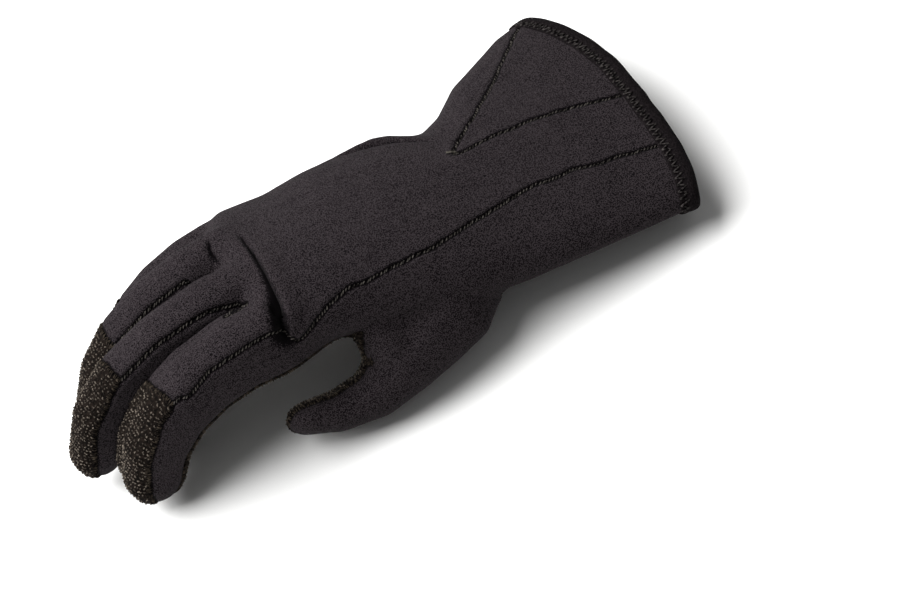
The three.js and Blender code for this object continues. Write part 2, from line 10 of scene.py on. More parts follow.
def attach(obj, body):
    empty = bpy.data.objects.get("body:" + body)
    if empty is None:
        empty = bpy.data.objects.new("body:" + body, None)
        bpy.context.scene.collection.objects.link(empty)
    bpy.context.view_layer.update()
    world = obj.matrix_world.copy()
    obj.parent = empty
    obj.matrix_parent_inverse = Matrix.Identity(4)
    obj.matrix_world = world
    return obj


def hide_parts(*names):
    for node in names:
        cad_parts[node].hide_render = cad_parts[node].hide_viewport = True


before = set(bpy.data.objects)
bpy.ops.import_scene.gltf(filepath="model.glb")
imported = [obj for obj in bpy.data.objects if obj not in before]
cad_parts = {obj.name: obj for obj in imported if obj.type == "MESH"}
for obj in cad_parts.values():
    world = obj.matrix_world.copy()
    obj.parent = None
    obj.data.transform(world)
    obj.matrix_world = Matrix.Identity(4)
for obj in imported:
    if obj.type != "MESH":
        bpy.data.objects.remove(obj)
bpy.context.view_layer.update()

# The glove is worked in the hand frame of its source, in millimetres: -X to the fingertips, +X to
# the cuff, -Y to the thumb, +Z out of the back of the hand, with X = 0 at the knuckle fold.
PITCH = math.radians(12.137685)
ORIGIN = np.array([-44.48, -8.47, 60.37])
TURN = np.array([
    [math.cos(PITCH), 0, math.sin(PITCH)],
    [0, 1, 0],
    [-math.sin(PITCH), 0, math.cos(PITCH)],
])

# Camera, in the hand frame, as directions and millimetres
CAMERA_RIGHT = np.array([0.901, -0.424, -0.088])
CAMERA_BACK = np.array([-0.224, -0.630, 0.744])
CAMERA_DISTANCE = 1000
CAMERA_SHIFT = (89.3, 10.9)
LENS = 92
SENSOR = 36

# Studio: metres, and watts for the key light
FLOOR = {"half": 4, "colour": (0.93, 0.93, 0.92), "roughness": 0.9}
KEY_LIGHT = {"place": (-0.9, 0.5, 1.5), "size": 1.8, "power": 92}
WORLD_STRENGTH = 0.2

# Every node but the hem gets a sheet of the skin
HEM = "cuff_hem"
NAMES = sorted(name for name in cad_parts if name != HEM)

# Skin drawn round the solids: its grid, how far they grow to close the kerfs, and a sheet's thickness
VOXEL = 1.0
KERF_CLOSING = 0.24
SHEET = 3.9

# Rounds of averaging over neighbouring points
ROUNDS = {"skin": 34, "panels": 6, "facing": 12, "normals": 4, "borders": 14, "gaps": 10}

# Points beside a border: how they are found, and how they are evened out
BESIDE = {"rounds": 3, "least": 0.002, "evenings": 6, "share": 0.5}

# Faces at the cuff's edge lie beyond this X and look along the glove
CUFF_EDGE = {"x": 150, "facing": 0.6}

# Step of the lines that seams and folds are measured from
LINE_STEP = 0.5

# Seams between sheets: the groove and the puff beside it, the half width of the shade painted along
# it, then the stitches, with the points of the shortest run that has them, their pitch, their reach
# across and along the seam, and how they stand on it
SEAM = {
    "depth": 0.8, "half": 0.75, "puff": 0.3, "puff_at": 2.6, "puff_half": 1.5, "shade": 0.75,
    "least": 5, "pitch": 1.65, "reach": 0.6, "slant": 0.75,
    "lift": 0.45, "rise": 0.45, "sink": 0.25, "thread": 0.29,
}

# Edges of the knit: the step down from the sheet and the rolled edge, then the overlock stitches,
# with their reach inside and outside the edge, their lean along it, and how far they stray. sample
# is how far beside the edge its knit side is looked for.
EDGING = {
    "depth": 0.5, "half": 1.1, "roll": 0.6, "roll_at": 1.0, "roll_half": 0.9,
    "least": 4, "pitch": 0.8, "inside": 1.9, "outside": 0.8, "lean": 0.45, "sample": 1.5,
    "astray": 0.28, "seed": 4, "rise": 0.45, "sink": 0.05, "thread": 0.24,
}

# Threads: thickness of their ends and length of their tips, as shares of the radius
THREAD_END = 0.75
THREAD_TIP = 0.5

# Hem: the ring of stations round the cuff's edge, and how far behind it the skin gives its slope
HEM_RING = {
    "stations": 260, "centre": (2.0, -1.0), "squash": 0.45, "rounds": 5, "back": 9, "back_rounds": 12,
}

# Hem's cross-section: along the glove from its edge, and out from its skin
HEM_PROFILE = [
    (-8.0, -0.4), (-8.1, 0.2), (-7.9, 0.65), (-7.5, 0.85), (-7.0, 0.85), (-6.4, 0.8), (-5.7, 0.8),
    (-5.0, 0.95), (-4.2, 1.3), (-3.0, 1.75), (-1.5, 1.9), (0.2, 1.75), (1.4, 1.1), (2.0, 0.0),
    (2.1, -1.5), (2.0, -3.0), (1.5, -4.4), (0.6, -5.3), (-1.0, -5.8), (-4.0, -5.9), (-7.5, -5.7),
    (-8.6, -5.2), (-8.6, -4.6), (-4.0, -4.4), (-0.4, -4.3), (-0.1, -3.8), (-0.1, -0.4), (-0.4, 0.0),
    (-4.0, -0.1),
]

# Zig-zag on the hem, between two places in the cross-section's measures
HEM_STITCH = {
    "near": (-3.5, 1.6), "far": (-7.7, 1.0), "pitch": 1.5, "rise": 0.12, "sink": 0.1, "thread": 0.42,
}

# Close threads across the tip of the cuff's gusset
BAR_TACK = {
    "threads": 4, "step": 0.42, "half": 2.6, "rise": 0.5, "sink": -0.3, "thread": 0.27,
    "along": (0.9, -0.42, -0.1),
}

# Web between the thumb and the index finger: the middle of its edge, and how far and how much it is eased
WEB = {"place": (30, -52, -17), "reach": 13, "rounds": 160}

# Gaps between the fingers: the skin that has them, how far it looks for the next finger, the shares
# of the gap that it crosses from the thumb's side and from the other, and the most that it moves
GAP = {
    "below_x": 4, "above_z": -75, "sideways": 0.35, "start": 0.6, "opposed": -0.3,
    "reach": 13, "share": 0.72, "other_share": 0.16, "most": 5.0,
}

# Folds: the crease's width under the lip, the lip's spread, the distances where it starts, is
# highest and hangs over, how far a fold reaches, the crease depth at which its painted shade turns
# black, and the share of that painted shade that lies on the lip
FOLD = {
    "edge": 0.9, "spread": 5, "start": 1.5, "highest": 2.2, "overhang": 3.2, "reach": 15,
    "painted_black_depth": 3, "lip_shade": 0.3,
}

# Places along each fold, how deep the crease is there (which also sets its painted shade), how wide
# its open side is, how far the sheet on its other side stands up as a lip, and how far the lip hangs over
# it
KNUCKLE_FOLD = [
    (2.8, 11.5, 15.2, 0.0, 1.0, 0.0, 0.0),
    (4.4, -2.8, 19.1, 2.2, 1.3, 0.5, 1.0),
    (4.8, -14.4, 20.7, 3.6, 1.7, 0.9, 1.8),
    (5.2, -22.4, 21.0, 4.6, 2.3, 1.1, 2.3),
    (5.3, -31.1, 20.0, 5.6, 3.1, 1.2, 2.6),
    (5.3, -36.8, 18.0, 6.4, 3.8, 1.2, 2.6),
    (5.0, -41.3, 16.3, 7.0, 4.4, 1.1, 2.5),
    (4.2, -45.5, 13.6, 7.0, 4.8, 0.8, 1.8),
    (2.6, -48.3, 9.1, 4.5, 4.8, 0.3, 0.6),
]
RING_FOLD = [
    (-8.5, 15.5, 13.5, 0.0, 1.0, 0.0, 0.0),
    (-9.5, 11.5, 14.0, 1.5, 1.2, 0.3, 0.6),
    (-10.5, 6.5, 13.5, 1.7, 1.4, 0.3, 0.6),
    (-11.5, 1.0, 12.5, 0.6, 1.2, 0.0, 0.0),
]
WRIST_FOLD = [
    (60.0, 37.5, 7.6, 0.0, 1.0, 0.2, 0.0),
    (66.0, 37.4, 8.2, 0.4, 1.1, 1.0, 0.1),
    (72.0, 37.0, 8.5, 1.1, 1.2, 2.2, 0.4),
    (78.0, 35.5, 9.2, 1.6, 1.3, 3.0, 0.8),
    (84.0, 32.5, 10.8, 1.7, 1.3, 2.6, 0.8),
    (90.0, 28.5, 12.6, 1.5, 1.3, 1.5, 0.6),
    (97.0, 23.0, 14.2, 0.8, 1.2, 0.5, 0.3),
    (103.0, 17.5, 15.4, 0.0, 1.0, 0.0, 0.0),
]

# Each fold with the axis that its lip lies along, from the crease
FOLDS = [(KNUCKLE_FOLD, 0), (RING_FOLD, 0), (WRIST_FOLD, 1)]

# Seam between the back and the thumb's side, drawn down to the foot of the knuckle fold: X and Z,
# and the Y that it stays below
SEAM_DIP = np.array([
    (-47.4, -6.2), (-35.3, 3.0), (-25.9, 6.7), (-17.0, 9.5), (-7.6, 11.3), (-4.1, 11.5), (-0.3, 9.9),
    (2.3, 6.2), (5.3, 2.4), (8.8, 4.6), (14.4, 8.7), (21.9, 13.1), (32.5, 15.5), (40.0, 15.2),
])
SEAM_DIP_BELOW_Y = -25

# Part of the palm's edge that the thumb's side takes over: its place, and how far it is turned up
PALM_EDGE = {"from_x": -14, "to_x": 42, "below_y": -42, "turned": 0.52}

# Parts of the finger walls that the back takes over: beyond a place, and turned up
WALL_TOP = {"from_x": -24, "from_y": -5, "up": 0.15}

# Top edges of the two nearer caps, across the finger from its far side
CAP_EDGES = [
    ("cap_index", (-57.0, -31.1, -9.0), (-50.2, -46.9, -6.9)),
    ("cap_middle", (-71.4, -5.4, -10.7), (-65.7, -19.2, -8.3)),
]

# Finger centrelines as in the part's source: places in mm, pitch in degrees
FINGER_COLUMNS = ("across", "tip_across", "up", "length", "pitch", "tip_pitch", "lag")
FINGERS = [dict(zip(FINGER_COLUMNS, row)) for row in [
    (-38, -38, -1.5, 108, 3, 98, 1.20),
    (-12.5, -11, 1.8, 125, 6, 97, 1.55),
    (13, 14, -0.6, 113, 6, 90, 1.2),
    (35.8, 36.2, -14.1, 92, 9, 88, 1.1),
]]
FINGER_STEPS = 240
THUMB = np.array([
    (82, -38, -15), (63, -46, -24), (46, -53, -32), (31, -56, -41), (18, -56, -43),
    (7.5, -56, -40.5), (-9, -55, -38),
], float)

# Knit: spacing of its rows and of the loops in a row, the least distance between two loops as a
# share of that, how near its edge they come as a share of the stitches' reach, then a loop's
# size with its range, its thread, how far it strays and turns, and the faces along and round it
KNIT = {
    "row": 1.75, "loop": 1.6, "apart": 0.7, "margin": 0.8, "half": 0.52, "range": (0.5, 1.25),
    "rise": 0.32, "sink": 0.05, "thread": 0.35, "astray": 0.38, "turn": 0.8, "seed": 7,
    "spans": 2, "sides": 4,
}

# Rows of the knit on the palm, the steps in degrees round a finger and round the hand, the rays'
# reach, and the slope from which an axis counts as upright
PALM_ROWS = {"from_x": -6, "to_x": 84, "y": -3.0, "z": -4.0}
FINGER_RING_STEP = 12
PALM_RING_STEP = 3
RING_REACH = 70
UPRIGHT = 0.9

# Speckle of a cloth: the broad noise and its share, how much the painted shade of seams and folds
# darkens it, and the fine relief
BROAD_GRAIN = 45
BROAD_SHARE = 0.06
PAINTED_SHADE_SHARE = -0.65
RELIEF_GRAIN = 1.3
FINE_DETAIL = 3.0
RELIEF_DEPTH = 0.0004
SPECULAR = 0.03
SHEEN_ROUGHNESS = 0.55

# Cloths and threads: the dark and light stops after black, grain, relief, roughness and sheen
BLACK = (0, (0.002, 0.0016, 0.0018))
CLOTHS = {
    "neoprene": ((0.455, (0.0015, 0.001, 0.0014)), (0.57, (0.031, 0.0255, 0.028)), 2100, 0.6, 0.95, 0.01),
    "knit_ground": ((0.4, (0.003, 0.0024, 0.002)), (0.8, (0.014, 0.010, 0.008)), 700, 0.6, 0.95, 0),
    "knit_yarn": ((0.42, (0.012, 0.0095, 0.008)), (0.75, (0.185, 0.157, 0.128)), 500, 0.5, 0.8, 0),
    "edge_yarn": ((0.42, (0.004, 0.003, 0.003)), (0.78, (0.075, 0.060, 0.045)), 620, 0.5, 0.8, 0),
    "seam_thread": ((0.38, (0.005, 0.0043, 0.004)), (0.7, (0.085, 0.077, 0.069)), 700, 0.3, 0.7, 0),
    "bar_thread": ((0.4, (0.02, 0.018, 0.015)), (0.75, (0.11, 0.10, 0.085)), 900, 0.3, 0.7, 0),
    "hem_thread": ((0.42, (0.002, 0.0016, 0.0017)), (0.74, (0.056, 0.05, 0.048)), 900, 0.3, 0.7, 0),
    "hem_cloth": ((0.45, (0.003, 0.0023, 0.0026)), (0.75, (0.015, 0.012, 0.013)), 1900, 0.5, 0.9, 0),
}


def to_row(points):
    """Row frame, in metres, from the hand frame, in millimetres."""
    return (np.asarray(points) @ TURN.T + ORIGIN) / 1000


def to_hand(points):
    """Hand frame, in millimetres, from the row frame, in metres."""
    return (np.asarray(points) * 1000 - ORIGIN) @ TURN


def unit(vectors):
    return vectors / np.maximum(np.linalg.norm(vectors, axis=-1, keepdims=True), 1e-12)


def bell(distance, half, centre=0):
    """1 at the centre, falling off smoothly on both sides."""
    return np.exp(-((distance - centre) / half) ** 2)


def is_knit(name):
    return name.startswith("cap_") or name == "palm_panel"


def tree_of(points):
    """Search tree over points."""
    tree = KDTree(len(points))
    for number, point in enumerate(points.tolist()):
        tree.insert(point, number)
    tree.balance()
    return tree


def mesh_arrays(mesh):
    """Points and triangles of a mesh."""
    points = np.empty(len(mesh.vertices) * 3)
    mesh.vertices.foreach_get("co", points)
    mesh.calc_loop_triangles()
    triangles = np.empty(len(mesh.loop_triangles) * 3, int)
    mesh.loop_triangles.foreach_get("vertices", triangles)
    return points.reshape(-1, 3), triangles.reshape(-1, 3)


def welded(points, triangles):
    """The same triangles with corners at one place made one."""
    _, first, same = np.unique(np.round(points, 3), axis=0, return_index=True, return_inverse=True)
    triangles = same.reshape(-1)[triangles]
    flat = (triangles == np.roll(triangles, 1, axis=1)).any(axis=1)
    return points[first], triangles[~flat]


def point_normals(points, faces):
    """Unit normals of the points of triangles or quads, weighted by area."""
    corners = points[faces]
    if faces.shape[1] == 4:
        across = np.cross(corners[:, 2] - corners[:, 0], corners[:, 3] - corners[:, 1])
    else:
        across = np.cross(corners[:, 1] - corners[:, 0], corners[:, 2] - corners[:, 0])
    normals = np.zeros((len(points), 3))
    for k in range(faces.shape[1]):
        for axis in range(3):
            normals[:, axis] += np.bincount(faces[:, k], across[:, axis], len(points))
    return unit(normals)


def cad_triangles():
    """Corner points, triangles and owners of all the solids, grown a little to close the kerfs."""
    points, triangles, owners, count = [], [], [], 0
    for owner, name in enumerate(NAMES):
        own_points, own_triangles = mesh_arrays(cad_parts[name].data)
        own_points, own_triangles = welded(to_hand(own_points), own_triangles)
        own_points = own_points + KERF_CLOSING * point_normals(own_points, own_triangles)
        points.append(own_points)
        triangles.append(own_triangles + count)
        owners.append(np.full(len(own_triangles), owner))
        count += len(own_points)
    return np.vstack(points), np.vstack(triangles), np.concatenate(owners)


def new_mesh(name, points, *groups):
    """A smooth-shaded mesh of groups of faces with equal corner counts."""
    mesh = bpy.data.meshes.new(name)
    corners = np.concatenate([np.asarray(group).ravel() for group in groups])
    sizes = np.concatenate([np.full(len(group), np.asarray(group).shape[1]) for group in groups])
    mesh.vertices.add(len(points))
    mesh.vertices.foreach_set("co", np.asarray(points, float).ravel())
    mesh.loops.add(len(corners))
    mesh.loops.foreach_set("vertex_index", corners.astype(np.int32))
    mesh.polygons.add(len(sizes))
    mesh.polygons.foreach_set("loop_start", np.concatenate([[0], np.cumsum(sizes)[:-1]]).astype(np.int32))
    mesh.update(calc_edges=True)
    mesh.validate()
    mesh.polygons.foreach_set("use_smooth", np.ones(len(mesh.polygons), bool))
    return mesh


def voxel_quads(points, triangles):
    """Even quads round the joined pieces."""
    source = bpy.data.objects.new("source", new_mesh("source", points, triangles))
    bpy.context.scene.collection.objects.link(source)
    remesh = source.modifiers.new("skin", "REMESH")
    remesh.mode = "VOXEL"
    remesh.voxel_size = VOXEL
    remesh.adaptivity = 0
    made = source.evaluated_get(bpy.context.evaluated_depsgraph_get()).to_mesh()
    skin = np.empty(len(made.vertices) * 3)
    made.vertices.foreach_get("co", skin)
    corners = np.empty(len(made.loops), int)
    made.loops.foreach_get("vertex_index", corners)
    bpy.data.objects.remove(source)
    return skin.reshape(-1, 3), corners.reshape(-1, 4)


def parts_of(faces, count):
    """Number of the connected part that each point belongs to."""
    part = np.arange(count)
    while True:
        lowest = part[faces].min(axis=1)
        before = part.copy()
        for k in range(faces.shape[1]):
            np.minimum.at(part, faces[:, k], lowest)
        part = part[part]
        if (part == before).all():
            return part


def outer_skin(points, quads):
    """The outside of the glove, up to the cuff's edge."""
    corners = points[quads]
    facing = unit(np.cross(corners[:, 2] - corners[:, 0], corners[:, 3] - corners[:, 1]))
    rim = (facing[:, 0] > CUFF_EDGE["facing"]) & (corners[:, :, 0].min(axis=1) > CUFF_EDGE["x"])
    quads = quads[~rim]
    part = parts_of(quads, len(points))
    highest = part[quads[points[quads[:, 0], 2].argmax(), 0]]
    quads = quads[part[quads[:, 0]] == highest]
    used, renamed = np.unique(quads, return_inverse=True)
    return points[used], renamed.reshape(quads.shape)


def sorted_edges(faces):
    """Each edge once, with the two faces on it; the second is -1 on a border of the mesh."""
    count = faces.shape[1]
    ends = np.vstack([np.sort(faces[:, [k, (k + 1) % count]], axis=1) for k in range(count)])
    owners = np.tile(np.arange(len(faces)), count)
    order = np.lexsort((ends[:, 1], ends[:, 0]))
    ends, owners = ends[order], owners[order]
    same = (ends[1:] == ends[:-1]).all(axis=1)
    first = np.concatenate([[True], ~same])
    second = np.full(len(ends), -1)
    second[:-1][same] = owners[1:][same]
    return ends[first], np.stack([owners[first], second[first]], axis=1)


def neighbours(edges, fixed):
    """Directed pairs for averaging: a point of the fixed set only follows others of that set."""
    pairs = np.vstack([edges, edges[:, ::-1]])
    return pairs[~fixed[pairs[:, 0]] | fixed[pairs[:, 1]]]


def blurred(values, pairs, rounds, share=0.7):
    """Values spread over neighbouring points, a few rounds."""
    count = len(values)
    degree = np.maximum(np.bincount(pairs[:, 0], minlength=count), 1)
    columns = np.array(values, float).reshape(count, -1)
    for _ in range(rounds):
        for k in range(columns.shape[1]):
            mean = np.bincount(pairs[:, 0], columns[pairs[:, 1], k], count) / degree
            columns[:, k] += share * (mean - columns[:, k])
    return columns.reshape(values.shape)


def rounded(points, pairs, rounds):
    """Facets blurred away, and the shrinkage of the blur put back."""
    once = blurred(points, pairs, rounds)
    twice = blurred(once, pairs, rounds)
    thrice = blurred(twice, pairs, rounds)
    return 3 * once - 3 * twice + thrice


def softened(points, pairs):
    """The skin with the web between the thumb and the index finger drawn round."""
    share = bell(np.linalg.norm(points - WEB["place"], axis=1), WEB["reach"])
    return points + share[:, None] * (blurred(points, pairs, WEB["rounds"]) - points)


def nearest_owner(points):
    """Number of the node whose solid lies nearest each point."""
    tree = BVHTree.FromPolygons(cad_points.tolist(), cad_faces.tolist())
    return np.array([cad_owners[tree.find_nearest(point)[2]] for point in points.tolist()])


def panel_of_faces(labels, quads, pairs):
    """Panel of each quad, from the owners of its corners with their ragged borders smoothed."""
    shares = blurred(np.eye(len(NAMES))[labels], pairs, ROUNDS["panels"])
    return shares[quads].sum(axis=1).argmax(axis=1)


def moved_borders(panels, centres, facing):
    """The panels with the back's border drawn down to the fold, and down into the gaps of the fingers."""
    back, thumb, palm = [NAMES.index(name) for name in ("back_panel", "thumb_panel", "palm_panel")]
    x, y, z = centres.T
    there = (x > SEAM_DIP[0, 0]) & (x < SEAM_DIP[-1, 0]) & (y < SEAM_DIP_BELOW_Y)
    above = z > np.interp(x, *SEAM_DIP.T)
    panels = np.where(there & np.isin(panels, [back, thumb]), np.where(above, back, thumb), panels)
    there = (x > PALM_EDGE["from_x"]) & (x < PALM_EDGE["to_x"]) & (y < PALM_EDGE["below_y"])
    turned = facing @ CAMERA_BACK > PALM_EDGE["turned"]
    panels = np.where((panels == palm) & there & turned, thumb, panels)
    for name, start, end in CAP_EDGES:
        square = unit(np.cross(np.subtract(end, start), CAMERA_BACK))
        before = (centres - start) @ square * np.sign(square[0]) > 0
        panels = np.where(before & (panels == NAMES.index(name)), back, panels)
    wall = np.array([name.startswith("wall_") for name in NAMES])[panels]
    sunk = (facing[:, 1] > 0) | ((x > WALL_TOP["from_x"]) & (y > WALL_TOP["from_y"]))
    return np.where(wall & sunk & (facing[:, 2] > WALL_TOP["up"]), back, panels)


def border_runs(edges, sides, panels):
    """Runs of points along the borders between panels: (points, low panel, high panel)."""
    two = sides[:, 1] >= 0
    low = np.where(two, np.minimum(panels[sides[:, 0]], panels[sides[:, 1]]), -1)
    high = np.where(two, np.maximum(panels[sides[:, 0]], panels[sides[:, 1]]), -1)
    border = two & (low != high)
    degree = np.bincount(edges[border].ravel(), minlength=edges.max() + 1)
    runs = []
    for pair in sorted(set(zip(low[border].tolist(), high[border].tolist()))):
        own = edges[border & (low == pair[0]) & (high == pair[1])].tolist()
        links = {}
        for a, b in own:
            links.setdefault(a, []).append(b)
            links.setdefault(b, []).append(a)
        unused = {tuple(sorted(edge)) for edge in own}
        ends = [point for point in links if len(links[point]) != 2 or degree[point] != 2]
        for start in ends + list(links):
            for after in links[start]:
                if tuple(sorted((start, after))) in unused:
                    runs.append((walk(start, after, links, unused, degree), *pair))
    return runs


def walk(start, after, links, unused, degree):
    """Points from a start along unused border edges to the next junction."""
    run = [start, after]
    unused.discard(tuple(sorted((start, after))))
    while degree[run[-1]] == 2 and len(links[run[-1]]) == 2:
        onward = [point for point in links[run[-1]] if tuple(sorted((run[-1], point))) in unused]
        if not onward:
            break
        unused.discard(tuple(sorted((run[-1], onward[0]))))
        run.append(onward[0])
    return run


def smooth_run(points, rounds):
    """A run of points with its steps smoothed away and its ends kept."""
    def pulled(run):
        run = run.copy()
        for _ in range(rounds):
            run[1:-1] = 0.5 * run[1:-1] + 0.25 * (run[:-2] + run[2:])
        return run
    once = pulled(points)
    return 2 * once - pulled(once)


def straighten_borders(skin, runs, pairs):
    """The skin with its panel borders drawn smooth, and the points beside them evened out."""
    skin = skin.copy()
    on_border = np.zeros(len(skin), bool)
    for run, _, _ in runs:
        skin[run] = smooth_run(skin[run], ROUNDS["borders"])
        on_border[run] = True
    near = blurred(on_border.astype(float), pairs, BESIDE["rounds"]) > BESIDE["least"]
    free = near & ~on_border
    evened = skin
    for _ in range(BESIDE["evenings"]):
        evened = np.where(free[:, None], blurred(evened, pairs, 1, BESIDE["share"]), evened)
    return evened


def resampled(rows, step):
    """Rows a step apart along a line, whose first three columns are places, and the line's directions."""
    lengths = np.linalg.norm(np.diff(rows[:, :3], axis=0), axis=1)
    along = np.concatenate([[0], np.cumsum(lengths)])
    count = max(int(round(along[-1] / step)), 1)
    places = (np.arange(count) + 0.5) * along[-1] / count

    def at(distances):
        return np.stack([np.interp(distances, along, column) for column in rows.T], axis=1)
    return at(places), unit((at(places + step) - at(places - step))[:, :3])


def surface_at(points, tree=None):
    """Nearest places on the skin, with the normal there and the number of the face."""
    places, facing, faces = [], [], []
    for point in points.tolist():
        place, normal, face, _ = (tree or skin_tree).find_nearest(point)
        places.append(place)
        facing.append(normal)
        faces.append(face)
    return np.array(places), unit(np.array(facing)), np.array(faces)


def seam_relief(skin, panels_of_points, runs):
    """Height that the seams give each point: a groove with a puff beside it, or a knit's rolled edge."""
    places, kinds = [], []
    for run, low, high in runs:
        line, _ = resampled(skin[run], LINE_STEP)
        places.append(line)
        kinds.append(np.full(len(line), is_knit(NAMES[low]) or is_knit(NAMES[high])))
    places, kinds = np.vstack(places), np.concatenate(kinds)
    tree = tree_of(places)
    found = [tree.find(point) for point in skin.tolist()]
    distance = np.array([hit[2] for hit in found])
    edged = kinds[[hit[1] for hit in found]]
    on_knit = np.array([is_knit(name) for name in NAMES])[panels_of_points]
    groove = -SEAM["depth"] * bell(distance, SEAM["half"])
    groove += SEAM["puff"] * bell(distance, SEAM["puff_half"], SEAM["puff_at"])
    roll = EDGING["roll"] * bell(distance, EDGING["roll_half"], EDGING["roll_at"]) * on_knit
    step = -EDGING["depth"] * bell(distance, EDGING["half"])
    return np.where(edged, roll + step, groove), distance


def fold_shift(skin, normals, tree, fold, axis):
    """Shift that a fold gives each point, and the painted shade for the fold's colour there, deepest
    where the crease is deepest. The sheet behind the crease, seen along the axis, stands up as a lip that
    hangs over it."""
    rows, _ = resampled(np.array(fold, float), LINE_STEP)
    line = surface_at(rows[:, :3], tree)[0]
    depth, width, lip, over = rows[:, 3:].T
    low, high = line.min(axis=0) - FOLD["reach"], line.max(axis=0) + FOLD["reach"]
    near = np.flatnonzero((skin > low).all(axis=1) & (skin < high).all(axis=1))
    nearest = tree_of(line)
    hits = [nearest.find(point) for point in skin[near].tolist()]
    found = np.array([hit[1] for hit in hits])
    distance = np.array([hit[2] for hit in hits])
    beyond = skin[near, axis] > line[found, axis]
    crease = depth[found] * bell(distance, np.where(beyond, FOLD["edge"], width[found]))
    rise = lip[found] * beyond * bell(distance, FOLD["spread"], FOLD["highest"])
    rise = rise * np.minimum(distance / FOLD["start"], 1)
    shift, painted_shade = np.zeros(skin.shape), np.zeros(len(skin))
    shift[near] = (rise - crease)[:, None] * normals[near]
    shift[near, axis] -= over[found] * beyond * bell(distance, FOLD["overhang"])
    # Painted shade inside the fold: darker with the crease's depth, fainter on the lip's side
    painted_shade[near] = np.clip(crease / FOLD["painted_black_depth"], 0, 1) * np.where(beyond, FOLD["lip_shade"], 1)
    return shift, painted_shade


def gap_relief(skin, normals, tree, pairs):
    """Height that brings the facing sides of two fingers together, so that they nearly touch."""
    height = np.zeros(len(skin))
    fingers = (skin[:, 0] < GAP["below_x"]) & (skin[:, 2] > GAP["above_z"])
    for number in np.flatnonzero(fingers & (abs(normals[:, 1]) > GAP["sideways"])):
        normal = Vector(normals[number])
        start = Vector(skin[number]) + GAP["start"] * normal
        _, facing, _, distance = tree.ray_cast(start, normal, GAP["reach"])
        if distance is not None and facing.dot(normal) < GAP["opposed"]:
            share = GAP["share"] if normal.y > 0 else GAP["other_share"]
            height[number] = min(share * distance, GAP["most"])
    return blurred(height, pairs, ROUNDS["gaps"])


def slab(name, points, normals, faces, crease):
    """A closed sheet: the faces, their copy a sheet's thickness inside, and the rim between them."""
    used, renamed = np.unique(faces, return_inverse=True)
    outer = renamed.reshape(faces.shape)
    count = len(used)
    both = np.vstack([points[used], points[used] - SHEET * normals[used]])
    directed = np.vstack([outer[:, [k, (k + 1) % 4]] for k in range(4)])
    keys = directed[:, 0] * count + directed[:, 1]
    back = directed[:, 1] * count + directed[:, 0]
    rim = directed[~np.isin(keys, back)]
    walls = np.stack([rim[:, 1], rim[:, 0], rim[:, 0] + count, rim[:, 1] + count], axis=1)
    mesh = new_mesh(name, to_row(both), np.vstack([outer, outer[:, ::-1] + count, walls]))
    # Painted shade of the seams and folds, kept on the points for the cloth to darken its colour
    mesh.attributes.new("crease", "FLOAT", "POINT").data.foreach_set("value", np.tile(crease[used], 2))
    return mesh


def thread_faces(spans, sides):
    """Quads round a thread and triangles over its two tips, which are its last two points."""
    tip = (spans + 1) * sides
    quads, tips = [], []
    for k in range(spans):
        for j in range(sides):
            after = (j + 1) % sides
            quads.append((k * sides + j, k * sides + after, (k + 1) * sides + after, (k + 1) * sides + j))
    for j in range(sides):
        after = (j + 1) % sides
        tips.append((tip, after, j))
        tips.append((tip + 1, spans * sides + j, spans * sides + after))
    return np.array(quads), np.array(tips)


def threads(name, starts, ends, normals, kind, spans=3, sides=5):
    """Short bent threads between pairs of points, as one mesh. Each stands up in its middle."""
    rise, sink, radius = kind["rise"], kind["sink"], kind["thread"]
    along = unit(ends - starts)
    across = unit(np.cross(normals, along))
    up = np.cross(along, across)
    rings = []
    for k in range(spans + 1):
        share = k / spans
        height = rise * 4 * share * (1 - share) - sink
        centre = starts + (ends - starts) * share + up * height
        size = radius * (THREAD_END if k in (0, spans) else 1)
        for j in range(sides):
            turn = 2 * math.pi * j / sides
            rings.append(centre + size * (math.cos(turn) * across + math.sin(turn) * up))
    tip = along * radius * THREAD_TIP
    rings += [starts - up * sink - tip, ends - up * sink + tip]
    points = np.stack(rings, axis=1).reshape(-1, 3)
    base = (np.arange(len(starts)) * len(rings))[:, None, None]
    groups = [(faces[None] + base).reshape(-1, faces.shape[1]) for faces in thread_faces(spans, sides)]
    return new_mesh(name, to_row(points), *groups)


def seam_threads():
    """Slanting stitches along the seams between two panels of sheet."""
    starts, ends, facing = [], [], []
    for run, low, high in runs:
        if is_knit(NAMES[low]) or is_knit(NAMES[high]) or len(run) < SEAM["least"]:
            continue
        line, along = resampled(skin[run], SEAM["pitch"])
        normals = surface_at(line)[1]
        across = np.cross(normals, along)
        slant = SEAM["slant"] * along + SEAM["reach"] * across
        starts.append(line - slant)
        ends.append(line + slant)
        facing.append(normals)
    starts, ends, facing = np.vstack(starts), np.vstack(ends), np.vstack(facing)
    lift = SEAM["lift"] * facing
    return threads("seam_stitches", starts + lift, ends + lift, facing, SEAM)


